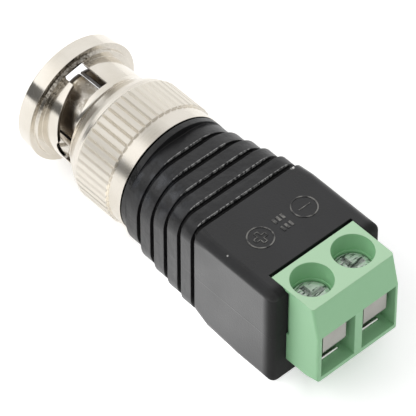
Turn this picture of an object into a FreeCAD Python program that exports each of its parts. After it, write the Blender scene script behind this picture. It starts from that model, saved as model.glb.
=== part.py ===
import FreeCAD, Part
import math
import os

import Sketcher
from FreeCAD import Placement, Rotation, Vector

# Video plug adapter: a bayonet plug at the -X end, a ribbed moulded housing, and a two-pole
# screw terminal at the +X end. The housing rests on its flat underside at Z = 0, and its
# screw side faces +Z. Millimetres.

SIZES = {
    # Housing
    "rim_place": -5.225,
    "rim_inset": 0.24,
    "rim_width": 0.60,
    "first_rib_length": 1.50,
    "groove_width": 0.60,
    "groove_depth": 0.60,
    "groove_corner_drop": 1.30,
    "rib_pitch": 1.93,
    "rib_front_width": 12.80,
    "rib_rear_width": 13.30,
    "rib_front_lift": 0.40,
    "rib_rear_lift": 0.10,
    "rib_front_upper_corner": 5.20,
    "rib_rear_upper_corner": 1.90,
    "rib_front_lower_corner": 4.90,
    "rib_rear_lower_corner": 2.35,
    "housing_width": 13.42,
    "housing_height": 12.30,
    "housing_corner": 0.90,
    "housing_end_round": 0.60,
    "front_upper_corner": 1.25,
    "front_lower_corner": 2.45,
    "first_blend_length": 1.60,
    "first_blend_corner": 1.40,
    "second_blend_length": 4.20,
    "housing_length": 20.93,
    "housing_floor": 2.50,
    "housing_roof": 1.50,
    "cavity_width": 9.60,
    "cavity_start": 0.00,
    "roof_notch_reach": 0.35,
    # Bayonet nut; its knurl and the plug's axis take their size from the housing's width
    "nut_rear_gap": 0.20,
    "nut_length": 14.55,
    "flange_radius": 6.60,
    "flange_front_radius": 6.48,
    "flange_thickness": 1.88,
    "flange_round": 0.12,
    "collar_radius": 6.00,
    "collar_thickness": 0.32,
    "nut_neck_radius": 5.32,
    "knurl_inset": 0.01,
    "knurl_length": 4.13,
    "knurl_groove_width": 0.34,
    "knurl_groove_depth": 0.20,
    "knurl_count": 50,
    "nut_ring_inset": 0.22,
    "nut_ring_length": 1.75,
    "flare_length": 2.80,
    "shoulder_length": 0.22,
    "shoulder_drop": 0.17,
    "mouth_radius": 4.90,
    "mouth_length": 1.60,
    "mouth_groove_length": 0.50,
    "mouth_groove_depth": 0.22,
    "mouth_relief": 0.06,
    "lug_circle_radius": 5.60,
    "lug_slot_width": 2.30,
    "lug_entry_angle": 79.0,
    "cam_end_angle": -5.0,
    "cam_front_start": 3.20,
    "cam_rise": 1.40,
    "cam_rear_edge": 6.25,
    "detent_place": 5.40,
    "detent_radius": 1.15,
    "slot_cut_inset": 0.40,
    "slot_cut_reach": 0.50,
    "nut_rib_length": 1.55,
    "nut_rear_recess_length": 1.55,
    "nut_rear_recess_radius": 5.30,
    # Plug body and what it carries
    "body_collar_front": 5.70,
    "body_collar_length": 0.80,
    "body_collar_radius": 4.80,
    "body_neck_radius": 3.90,
    "body_bore_radius": 3.00,
    "body_rear_reach": 0.60,
    "body_tab_length": 2.60,
    "body_tab_width": 2.40,
    "body_tab_thickness": 0.80,
    "body_tab_rise": 0.16,
    "contact_radius": 4.05,
    "contact_wall": 0.55,
    "contact_reach": 6.40,
    "contact_seat_depth": 0.75,
    "contact_slot_width": 0.40,
    "contact_slot_length": 5.00,
    "gasket_thickness": 0.45,
    "washer_thickness": 0.25,
    "spring_height": 1.10,
    "spring_thickness": 0.22,
    "spring_waves": 3,
    "spring_inner_gap": 0.15,
    "spring_outer_gap": 0.10,
    "ring_thickness": 0.55,
    "ring_groove_depth": 0.57,
    "ring_radius": 4.70,
    "ring_gap": 1.60,
    "nut_float": 0.05,
    "dielectric_reach": 1.60,
    "dielectric_cup_radius": 2.40,
    "dielectric_cup_depth": 1.40,
    "rear_insulator_length": 1.50,
    "rear_insulator_place": 2.10,
    "pin_radius": 0.67,
    "pin_reach": 4.60,
    "pin_nose": 0.55,
    "pin_tip_share": 0.45,
    "cup_radius": 1.00,
    "cup_length": 3.30,
    "cup_bore_radius": 0.55,
    "cup_bore_depth": 1.80,
    # Terminal block
    "block_overhang": 4.27,
    "block_length": 6.25,
    "block_width": 10.10,
    "block_slant_height": 3.45,
    "block_slant_run": 0.85,
    "block_toe_run": 1.60,
    "block_toe_rise": 0.45,
    "block_neck_depth": 0.30,
    "block_plate_thickness": 0.30,
    "block_edge_round": 0.30,
    "pole_pitch": 5.08,
    "window_width": 4.14,
    "window_floor": 0.95,
    "window_depth": 3.40,
    "chamber_width": 3.90,
    "block_back_wall": 0.55,
    "screw_setback": 3.61,
    "well_radius": 2.05,
    "well_depth": 2.15,
    "throat_radius": 1.95,
    "side_recess_height": 5.70,
    "side_recess_reach": 0.07,
    "side_recess_ramp": 0.32,
    # Screw, clamp and contact strip of each pole
    "head_radius": 1.85,
    "head_height": 1.05,
    "head_dome": 0.25,
    "head_flat_share": 0.72,
    "head_sink": 2.15,
    "shank_radius": 1.20,
    "cross_width": 0.55,
    "cross_depth": 0.45,
    "cross_length": 2.90,
    "clamp_thickness": 1.00,
    "clamp_width": 3.80,
    "clamp_leg_thickness": 0.50,
    "clamp_leg_width": 2.90,
    "clamp_reach": 1.91,
    "screw_travel_down": 1.30,
    "strip_thickness": 0.40,
    "strip_width": 2.60,
    "strip_setback": 1.30,
    "strip_end_round": 0.16,
    "tail_width": 0.90,
    "tail_length": 2.05,
    "guard_thickness": 0.35,
    "guard_width": 2.90,
    "guard_setback": 0.50,
    "guard_drop": 0.95,
    "guard_lip_height": 2.60,
    "guard_bend": 0.60,
    "guard_leg_gap": 0.20,
    "wire_radius": 0.45,
    "wire_bend": 2.20,
    "signal_lead_run": 2.40,
    "ground_lead_start": 0.60,
    "ground_lead_run": 1.20,
    "landing_length": 2.50,
    "landing_gap": 0.50,
    # Clearances
    "press_gap": 0.02,
    "slip_gap": 0.05,
    "running_gap": 0.07,
}


class Size:
    """A number together with the spreadsheet formula that gives it."""

    def __init__(self, number, formula):
        self.number = float(number)
        self.formula = formula

    def __add__(self, other):
        other = as_size(other)
        return Size(self.number + other.number, f"({self.formula} + {other.formula})")

    def __sub__(self, other):
        other = as_size(other)
        return Size(self.number - other.number, f"({self.formula} - {other.formula})")

    def __mul__(self, other):
        other = as_size(other)
        return Size(self.number * other.number, f"({self.formula} * {other.formula})")

    def __truediv__(self, other):
        other = as_size(other)
        return Size(self.number / other.number, f"({self.formula} / {other.formula})")

    def __neg__(self):
        return Size(-self.number, f"(0 - {self.formula})")


def as_size(value):
    """Wraps a plain number, so that it can stand in a formula."""
    if isinstance(value, Size):
        return value
    return Size(value, f"({value})")


doc = FreeCAD.newDocument("adapter")
sheet = doc.addObject("Spreadsheet::Sheet", "Sizes")
for row, (name, number) in enumerate(SIZES.items(), start=1):
    sheet.set(f"A{row}", name)
    sheet.set(f"B{row}", str(number))
    sheet.setAlias(f"B{row}", name)
doc.recompute()

# How close two places are when they count as one, how far a cut runs past what it cuts, the
# number of ribs, how fast their lower corners change, and the steps of the shaped surfaces
SAME_PLACE = 0.01
OVERRUN = 1.0
RIBS = 5
LOWER_CORNER_EASING = 0.6
FLARE_STEPS = 6
SLOT_STEPS = 6
WAVE_STEPS = 12

pieces = {}


def number_of(name):
    """The number that the sheet holds under a name."""
    return float(sheet.get(name))


def size(name):
    """The named driving dimension as a Size."""
    return Size(number_of(name), f"Sizes.{name}")


def bind(feature, path, value):
    """Ties a property of a feature to its formula."""
    feature.setExpression(path, as_size(value).formula)


# Sketches and features

def new_body(name):
    """A body that will become the piece of that name."""
    body = doc.addObject("PartDesign::Body", name)
    body.Label = name
    return body


def keep(name, feature):
    """Files a finished object under the piece's name."""
    feature.Label = name
    pieces[name] = feature
    return feature


def place(feature, x=0.0, y=0.0, z=0.0):
    """Moves an object by bound distances along the three axes."""
    spot = [as_size(value) for value in (x, y, z)]
    feature.Placement = Placement(Vector(*[value.number for value in spot]), Rotation())
    for axis, value in zip("xyz", spot):
        bind(feature, f"Placement.Base.{axis}", value)


def sketch_on(body, name, plane, offset=0.0):
    """A sketch on one of the body's own origin planes, moved along the plane's normal."""
    sketch = body.newObject("Sketcher::SketchObject", name)
    for feature in body.Origin.OriginFeatures:
        if feature.Role == plane:
            sketch.AttachmentSupport = [(feature, "")]
    sketch.MapMode = "FlatFace"
    offset = as_size(offset)
    sketch.AttachmentOffset = Placement(Vector(0, 0, offset.number), Rotation())
    bind(sketch, "AttachmentOffset.Base.z", offset)
    return sketch


def pin_point(sketch, element, point, x, y):
    """Fixes a sketch point at bound distances from the sketch's origin."""
    for kind, value in (("DistanceX", x), ("DistanceY", y)):
        value = as_size(value)
        index = sketch.addConstraint(
            Sketcher.Constraint(kind, -1, 1, element, point, value.number)
        )
        sketch.setExpression(f"Constraints[{index}]", value.formula)


def draw_polygon(sketch, points):
    """A closed outline of straight edges, each corner bound to its formulas."""
    points = [(as_size(x), as_size(y)) for x, y in points]
    corners = [Vector(x.number, y.number, 0) for x, y in points]
    first = sketch.GeometryCount
    count = len(corners)
    for index in range(count):
        following = corners[(index + 1) % count]
        sketch.addGeometry(Part.LineSegment(corners[index], following))
    for index in range(count):
        following = first + (index + 1) % count
        sketch.addConstraint(Sketcher.Constraint("Coincident", first + index, 2, following, 1))
    for index, (x, y) in enumerate(points):
        pin_point(sketch, first + index, 1, x, y)


def draw_rectangle(sketch, low, high):
    """A rectangle between two opposite corners."""
    (left, bottom), (right, top) = low, high
    draw_polygon(sketch, [(left, bottom), (right, bottom), (right, top), (left, top)])


def draw_circle(sketch, x, y, radius):
    """A circle with a bound centre and radius."""
    x, y, radius = as_size(x), as_size(y), as_size(radius)
    centre = Vector(x.number, y.number, 0)
    element = sketch.addGeometry(Part.Circle(centre, Vector(0, 0, 1), radius.number))
    pin_point(sketch, element, 3, x, y)
    index = sketch.addConstraint(Sketcher.Constraint("Radius", element, radius.number))
    sketch.setExpression(f"Constraints[{index}]", radius.formula)


def draw_section(sketch, half_width, bottom, top, lower_corner, upper_corner):
    """A rectangle, upright on the sketch's vertical axis, with rounded corners."""
    corners = [
        (half_width - lower_corner, bottom + lower_corner, lower_corner, -90),
        (half_width - upper_corner, top - upper_corner, upper_corner, 0),
        (upper_corner - half_width, top - upper_corner, upper_corner, 90),
        (lower_corner - half_width, bottom + lower_corner, lower_corner, 180),
    ]
    arcs = []
    for x, y, radius, start in corners:
        circle = Part.Circle(Vector(x.number, y.number, 0), Vector(0, 0, 1), radius.number)
        arc = Part.ArcOfCircle(circle, math.radians(start), math.radians(start + 90))
        arcs.append(sketch.addGeometry(arc))
    for index, arc in enumerate(arcs):
        following = arcs[(index + 1) % 4]
        edge = Part.LineSegment(sketch.getPoint(arc, 2), sketch.getPoint(following, 1))
        line = sketch.addGeometry(edge)
        sketch.addConstraint(Sketcher.Constraint("Coincident", arc, 2, line, 1))
        sketch.addConstraint(Sketcher.Constraint("Coincident", line, 2, following, 1))
    for arc, (x, y, radius, start) in zip(arcs, corners):
        pin_point(sketch, arc, 3, x, y)
        index = sketch.addConstraint(Sketcher.Constraint("Radius", arc, radius.number))
        sketch.setExpression(f"Constraints[{index}]", radius.formula)
        upright_end, level_end = (1, 2) if start in (-90, 90) else (2, 1)
        sketch.addConstraint(Sketcher.Constraint("Vertical", arc, 3, arc, upright_end))
        sketch.addConstraint(Sketcher.Constraint("Horizontal", arc, 3, arc, level_end))


def extrude(body, kind, name, sketch, length, backwards=False, centred=False):
    """A Pad or a Pocket of a sketch, over a bound length."""
    feature = body.newObject(f"PartDesign::{kind}", name)
    feature.Profile = sketch
    feature.Reversed = backwards
    if centred:
        feature.SideType = "Symmetric"
    length = as_size(length)
    feature.Length = length.number
    bind(feature, "Length", length)
    doc.recompute()
    return feature


def turn(body, name, points, axis="H_Axis"):
    """A solid turned from an outline around one of its sketch's axes."""
    sketch = sketch_on(body, f"{name}_outline", "XZ_Plane")
    draw_polygon(sketch, points)
    feature = body.newObject("PartDesign::Revolution", name)
    feature.Profile = sketch
    feature.ReferenceAxis = (sketch, [axis])
    feature.Angle = 360
    doc.recompute()
    return feature


def turned_piece(name, points):
    """A piece turned around the plug's axis from (place along X, radius) corners."""
    body = new_body(name)
    turn(body, f"{name}_turning", points)
    place(body, z=axis_height)
    return keep(name, body)


def turned_ring(name, front, rear, inner, outer):
    """A plain ring around the plug's axis."""
    return turned_piece(name, [(front, inner), (rear, inner), (rear, outer), (front, outer)])


def round_edges(body, name, feature, edges, radius):
    """A fillet on the named edges of the body's last feature."""
    fillet = body.newObject("PartDesign::Fillet", name)
    fillet.Base = (feature, edges)
    fillet.Radius = radius.number
    bind(fillet, "Radius", radius)
    doc.recompute()
    return fillet


def edges_where(feature, wanted):
    """The names of a feature's edges whose box of points passes a test."""
    return [
        f"Edge{number}"
        for number, edge in enumerate(feature.Shape.Edges, start=1)
        if wanted(edge.BoundBox)
    ]


def near(value, target):
    """True where two places are the same, as far as finding an edge goes."""
    return abs(value - target.number) < SAME_PLACE


# Places that several pieces share

half = size("housing_width") / 2
knurl_radius = half - size("knurl_inset")
rim_radius = knurl_radius - size("rim_inset")
nut_ring_radius = knurl_radius - size("nut_ring_inset")
axis_height = knurl_radius
housing_end = size("rim_place") + size("housing_length")
roof_inside = size("housing_height") - size("housing_roof")
block_front = housing_end + size("block_overhang")
block_back = block_front - size("block_length")
screw_place = block_front - size("screw_setback")
chamber_floor = size("housing_floor") + size("window_floor")
chamber_roof = size("housing_height") - size("block_slant_height")
chamber_back = block_back + size("block_back_wall")
nut_rear = size("rim_place") - size("nut_rear_gap")
nut_front = nut_rear - size("nut_length")
flange_rear = nut_front + size("flange_thickness")
rib_rear = nut_rear - size("nut_rear_recess_length")
rib_front = rib_rear - size("nut_rib_length")
collar_front = size("rim_place") - size("body_collar_front")
collar_rear = collar_front + size("body_collar_length")
contact_seat = collar_front + size("contact_seat_depth")
body_rear = size("cavity_start") + size("body_rear_reach")
ring_front = rib_rear + size("nut_float")
insulator_front = size("rim_place") + size("rear_insulator_place")
insulator_rear = insulator_front + size("rear_insulator_length")
head_top = size("housing_height") - size("head_sink")
head_under = head_top - size("head_height")
clamp_top = head_under - size("screw_travel_down") - size("slip_gap")
clamp_under = clamp_top - size("clamp_thickness")
strip_top = chamber_floor + size("strip_thickness")


# Housing

def rib_value(index, front, rear, easing=1.0):
    """A rib's share of the way between its first and its last value."""
    share = round((index / (RIBS - 1)) ** easing, 4)
    return size(front) + (size(rear) - size(front)) * share


def add_slab(body, name, start, length, section):
    """One slice of the housing along X, from a rounded section."""
    sketch = sketch_on(body, f"{name}_section", "YZ_Plane", start)
    draw_section(sketch, *section)
    return extrude(body, "Pad", name, sketch, length)


def make_housing():
    body = new_body("plug_housing")
    rim = sketch_on(body, "rim_circle", "YZ_Plane", size("rim_place"))
    draw_circle(rim, 0, axis_height, rim_radius)
    extrude(body, "Pad", "rim", rim, size("rim_width"))

    start = size("rim_place") + size("rim_width")
    top = size("housing_height")
    depth = size("groove_depth")
    for index in range(RIBS):
        length = size("first_rib_length")
        if index:
            length = size("rib_pitch") - size("groove_width")
        width = rib_value(index, "rib_front_width", "rib_rear_width") / 2
        lift = rib_value(index, "rib_front_lift", "rib_rear_lift")
        upper = rib_value(index, "rib_front_upper_corner", "rib_rear_upper_corner")
        lower = rib_value(
            index, "rib_front_lower_corner", "rib_rear_lower_corner", LOWER_CORNER_EASING
        )
        add_slab(body, f"rib_{index + 1}", start, length, (width, lift, top, lower, upper))
        start = start + length
        drop = size("groove_corner_drop")
        groove = (width - depth, lift + depth, top - depth, lower - drop, upper - drop)
        add_slab(body, f"groove_{index + 1}", start, size("groove_width"), groove)
        start = start + size("groove_width")

    corner = size("housing_corner")
    blend_middle = start + size("first_blend_length")
    blend_end = blend_middle + size("second_blend_length")
    stations = (
        ("front", start, size("front_lower_corner"), size("front_upper_corner")),
        ("middle", blend_middle, size("first_blend_corner"), corner),
        ("rear", blend_end, corner, corner),
    )
    sections = []
    for name, x, lower, upper in stations:
        section = sketch_on(body, f"box_{name}_section", "YZ_Plane", x)
        draw_section(section, half, as_size(0), top, lower, upper)
        sections.append(section)
    blend = body.newObject("PartDesign::AdditiveLoft", "box_blend")
    blend.Profile = sections[0]
    blend.Sections = sections[1:]
    blend.Ruled = True
    doc.recompute()
    rest = size("housing_length") + size("rim_place") - blend_end
    box = add_slab(body, "box", blend_end, rest, (half, as_size(0), top, corner, corner))

    end_edges = edges_where(box, lambda b: near(b.XMin, housing_end) and near(b.XMax, housing_end))
    round_edges(body, "end_round", box, end_edges, size("housing_end_round"))

    bore = sketch_on(body, "body_bore_circle", "YZ_Plane", size("rim_place"))
    draw_circle(bore, 0, axis_height, size("body_neck_radius") + size("press_gap"))
    bore_depth = size("cavity_start") - size("rim_place") + size("slip_gap")
    extrude(body, "Pocket", "body_bore", bore, bore_depth, backwards=True)

    cavity = sketch_on(body, "cavity_outline", "YZ_Plane", block_back)
    side = size("cavity_width") / 2
    draw_rectangle(cavity, (-side, size("housing_floor")), (side, roof_inside))
    extrude(body, "Pocket", "cavity", cavity, block_back - size("cavity_start"))

    plate_side = size("block_width") / 2 + size("slip_gap")
    neck_side = plate_side - size("block_neck_depth")
    ledge = top - size("block_plate_thickness") - size("slip_gap")
    above = top + size("housing_roof")
    pocket = sketch_on(body, "block_pocket_outline", "YZ_Plane", housing_end)
    draw_polygon(pocket, [
        (-neck_side, size("housing_floor")),
        (neck_side, size("housing_floor")),
        (neck_side, ledge),
        (plate_side, ledge),
        (plate_side, above),
        (-plate_side, above),
        (-plate_side, ledge),
        (-neck_side, ledge),
    ])
    extrude(body, "Pocket", "block_pocket", pocket, housing_end - block_back)

    notch = sketch_on(body, "roof_notch_outline", "YZ_Plane", block_back)
    draw_rectangle(notch, (-plate_side, roof_inside), (plate_side, above))
    extrude(body, "Pocket", "roof_notch", notch, size("roof_notch_reach"))
    keep("plug_housing", body)


# Bayonet nut

def make_nut_blank():
    """The turned nut, before its slots are cut."""
    neck = size("nut_neck_radius")
    knurl_rear = nut_rear - size("nut_ring_length")
    knurl_front = knurl_rear - size("knurl_length")
    shoulder = knurl_front - size("shoulder_length")
    flare_front = shoulder - size("flare_length")
    collar_end = flange_rear + size("collar_thickness")
    bevel = size("flange_round")
    shoulder_radius = knurl_radius - size("shoulder_drop")
    mouth_end = nut_front + size("mouth_length")
    groove_end = mouth_end + size("mouth_groove_length")
    grooved = size("mouth_radius") + size("mouth_groove_depth")
    relieved = size("mouth_radius") + size("mouth_relief")
    outline = [
        (nut_front, size("mouth_radius")),
        (mouth_end, size("mouth_radius")),
        (mouth_end, grooved),
        (groove_end, grooved),
        (groove_end, relieved),
        (rib_front, relieved),
        (rib_front, size("body_neck_radius") + size("running_gap")),
        (rib_rear, size("body_neck_radius") + size("running_gap")),
        (rib_rear, size("nut_rear_recess_radius")),
        (nut_rear, size("nut_rear_recess_radius")),
        (nut_rear, nut_ring_radius),
        (knurl_rear, nut_ring_radius),
        (knurl_rear, knurl_radius),
        (knurl_front, knurl_radius),
        (shoulder, shoulder_radius),
    ]
    rise = shoulder_radius - neck
    for step in range(1, FLARE_STEPS):
        share = step / FLARE_STEPS
        along = shoulder - size("flare_length") * share
        height = (1 + math.cos(math.pi * share)) / 2
        outline.append((along, neck + rise * height))
    outline += [
        (flare_front, neck),
        (collar_end, neck),
        (collar_end, size("collar_radius") - bevel),
        (flange_rear, size("collar_radius")),
        (flange_rear, size("flange_radius")),
        (nut_front + bevel, size("flange_front_radius")),
        (nut_front, size("flange_front_radius") - bevel),
    ]
    body = new_body("nut_blank")
    turn(body, "nut_turning", outline)
    add_knurl(body, shoulder)
    place(body, z=axis_height)
    return body


def add_knurl(body, front):
    """Straight V grooves all round the nut's grip."""
    top = knurl_radius + size("knurl_groove_depth")
    bottom = knurl_radius - size("knurl_groove_depth")
    sketch = sketch_on(body, "knurl_groove_outline", "YZ_Plane", front)
    draw_polygon(sketch, [
        (-size("knurl_groove_width"), top),
        (0, bottom),
        (size("knurl_groove_width"), top),
    ])
    length = size("knurl_length") + size("shoulder_length")
    groove = extrude(body, "Pocket", "knurl_groove", sketch, length, backwards=True)
    knurl = body.newObject("PartDesign::PolarPattern", "knurl")
    knurl.Originals = [groove]
    for feature in body.Origin.OriginFeatures:
        if feature.Role == "X_Axis":
            knurl.Axis = (feature, [""])
    knurl.Angle = 360
    knurl.Occurrences = int(number_of("knurl_count"))
    bind(knurl, "Occurrences", size("knurl_count"))
    body.Tip = knurl
    doc.recompute()


def around_axis(x, radius, angle):
    """A point at an angle around the X axis, measured from -Y towards +Z."""
    turned = math.radians(angle)
    return Vector(x, -radius * math.cos(turned), radius * math.sin(turned))


def cam_slot_cutter(start_turn):
    """One bayonet slot: the lug's way in, the cam ramp and the round detent."""
    inner = number_of("mouth_radius") - number_of("slot_cut_inset")
    outer = number_of("nut_neck_radius") + number_of("slot_cut_reach")
    entry = number_of("lug_entry_angle")
    front = nut_front.number
    rear = front + number_of("cam_rear_edge")

    half_slot = number_of("lug_slot_width") / 2
    channel = Part.makeBox(
        rear - front + OVERRUN,
        2 * half_slot,
        number_of("lug_circle_radius") - inner,
        Vector(front - OVERRUN, -half_slot, inner),
    )
    channel.rotate(Vector(0, 0, 0), Vector(1, 0, 0), 90 - entry - start_turn)

    ramp_start = entry - math.degrees(math.asin(half_slot / number_of("nut_neck_radius")))
    ramp_end = number_of("cam_end_angle")
    sections = []
    for step in range(SLOT_STEPS + 1):
        share = step / SLOT_STEPS
        angle = entry + (ramp_end - entry) * share
        past_entry = max(0.0, (ramp_start - angle) / (ramp_start - ramp_end))
        edge = front + number_of("cam_front_start") + number_of("cam_rise") * past_entry
        turned = angle + start_turn
        corners = [
            around_axis(edge, inner, turned),
            around_axis(rear, inner, turned),
            around_axis(rear, outer, turned),
            around_axis(edge, outer, turned),
        ]
        sections.append(Part.makePolygon(corners + corners[:1]))
    ramp = Part.makeLoft(sections, True, False)

    heading = around_axis(0, 1, ramp_end + start_turn) - around_axis(0, 0, 0)
    detent = Part.makeCylinder(
        number_of("detent_radius"),
        outer - inner,
        around_axis(front + number_of("detent_place"), inner, ramp_end + start_turn),
        heading,
    )
    return [channel, ramp, detent]


def make_nut():
    blank = make_nut_blank()
    cutter = doc.addObject("Part::Feature", "cam_slots")
    cuts = cam_slot_cutter(0) + cam_slot_cutter(180)
    cutter.Shape = cuts[0].fuse(cuts[1:])
    place(cutter, z=axis_height)
    nut = doc.addObject("Part::Cut", "bayonet_nut")
    nut.Base = blank
    nut.Tool = cutter
    doc.recompute()
    keep("bayonet_nut", nut)


# Plug body and what it carries

def make_plug_body():
    neck = size("body_neck_radius")
    bore = size("body_bore_radius")
    seat = size("contact_radius") + size("press_gap")
    groove_front = ring_front - size("press_gap")
    groove_rear = ring_front + size("ring_thickness") + size("press_gap")
    groove = neck - size("ring_groove_depth")
    body = new_body("plug_body")
    turn(body, "body_turning", [
        (collar_front, seat),
        (contact_seat, seat),
        (contact_seat, bore),
        (body_rear, bore),
        (body_rear, neck),
        (groove_rear, neck),
        (groove_rear, groove),
        (groove_front, groove),
        (groove_front, neck),
        (collar_rear, neck),
        (collar_rear, size("body_collar_radius")),
        (collar_front, size("body_collar_radius")),
    ])
    tab = sketch_on(body, "solder_tab_outline", "YZ_Plane", body_rear - size("slip_gap"))
    side = size("body_tab_width") / 2
    under = -neck + size("body_tab_rise")
    draw_rectangle(tab, (-side, under), (side, under + size("body_tab_thickness")))
    extrude(body, "Pad", "solder_tab", tab, size("body_tab_length"))
    place(body, z=axis_height)
    keep("plug_body", body)


def make_outer_contact():
    outer = size("contact_radius")
    inner = outer - size("contact_wall")
    tip = collar_front - size("contact_reach")
    body = new_body("outer_contact")
    turn(body, "contact_turning", [
        (tip, inner), (contact_seat, inner), (contact_seat, outer), (tip, outer),
    ])
    side = size("contact_slot_width") / 2
    for name, plane in (("level_slots", "XY_Plane"), ("upright_slots", "XZ_Plane")):
        sketch = sketch_on(body, f"{name}_outline", plane)
        reach = tip + size("contact_slot_length")
        draw_rectangle(sketch, (tip - OVERRUN, -side), (reach, side))
        extrude(body, "Pocket", name, sketch, outer * 2 + OVERRUN, centred=True)
    place(body, z=axis_height)
    keep("outer_contact", body)


def make_retaining_ring():
    bore = size("body_neck_radius") - size("ring_groove_depth") + size("press_gap")
    body = new_body("retaining_ring")
    rear = ring_front + size("ring_thickness")
    outer = size("ring_radius")
    turn(body, "ring_turning", [
        (ring_front, bore), (rear, bore), (rear, outer), (ring_front, outer),
    ])
    sketch = sketch_on(body, "ring_gap_outline", "XY_Plane")
    side = size("ring_gap") / 2
    draw_rectangle(sketch, (ring_front - OVERRUN, -side), (rear + OVERRUN, side))
    extrude(body, "Pocket", "ring_gap_cut", sketch, outer * 2, backwards=True)
    place(body, z=axis_height)
    keep("retaining_ring", body)


def make_wave_spring():
    """A closed wavy washer, lofted through radial sections all the way round."""
    inner = number_of("body_neck_radius") + number_of("spring_inner_gap")
    outer = number_of("body_collar_radius") - number_of("spring_outer_gap")
    thickness = number_of("spring_thickness")
    front = collar_rear.number + number_of("washer_thickness")
    middle = front + number_of("spring_height") / 2
    swing = (number_of("spring_height") - thickness) / 2
    sections = []
    steps = WAVE_STEPS * int(number_of("spring_waves"))
    for step in range(steps):
        angle = 360 * step / steps
        centre = middle + swing * math.cos(math.radians(angle * number_of("spring_waves")))
        corners = [
            around_axis(centre - thickness / 2, inner, angle),
            around_axis(centre + thickness / 2, inner, angle),
            around_axis(centre + thickness / 2, outer, angle),
            around_axis(centre - thickness / 2, outer, angle),
        ]
        sections.append(Part.makePolygon(corners + corners[:1]))
    spring = doc.addObject("Part::Feature", "wave_spring")
    spring.Shape = Part.makeLoft(sections, True, True, True)
    place(spring, z=axis_height)
    keep("wave_spring", spring)


def make_spring_stack():
    hole = size("body_neck_radius") + size("slip_gap") * 2
    outer = size("body_collar_radius") - size("slip_gap")
    thickness = size("washer_thickness")
    turned_ring("front_washer", collar_rear, collar_rear + thickness, hole, outer)
    turned_ring("rear_washer", rib_front - thickness, rib_front, hole, outer)
    make_wave_spring()
    gasket_front = collar_front - size("gasket_thickness")
    gasket_hole = size("contact_radius") + size("slip_gap")
    turned_ring("gasket", gasket_front, collar_front, gasket_hole, outer)


def make_insulators():
    front = collar_front - size("dielectric_reach")
    cup_floor = front + size("dielectric_cup_depth")
    head = size("contact_radius") - size("contact_wall") - size("slip_gap")
    stem = size("body_bore_radius") - size("press_gap")
    hole = size("pin_radius") + size("press_gap")
    turned_piece("dielectric", [
        (front, size("dielectric_cup_radius")),
        (cup_floor, size("dielectric_cup_radius")),
        (cup_floor, hole),
        (insulator_front, hole),
        (insulator_front, stem),
        (contact_seat, stem),
        (contact_seat, head),
        (front, head),
    ])
    turned_ring("rear_insulator", insulator_front, insulator_rear, hole, stem)


def make_centre_pin():
    tip = collar_front - size("pin_reach")
    radius = size("pin_radius")
    rear = insulator_rear + size("cup_length")
    body = new_body("centre_pin")
    turn(body, "pin_turning", [
        (tip, 0),
        (tip, radius * size("pin_tip_share")),
        (tip + size("pin_nose"), radius),
        (insulator_rear, radius),
        (insulator_rear, size("cup_radius")),
        (rear, size("cup_radius")),
        (rear, size("cup_bore_radius")),
        (rear - size("cup_bore_depth"), size("cup_bore_radius")),
        (rear - size("cup_bore_depth"), 0),
    ])
    place(body, z=axis_height)
    keep("centre_pin", body)


# Terminal block

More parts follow.
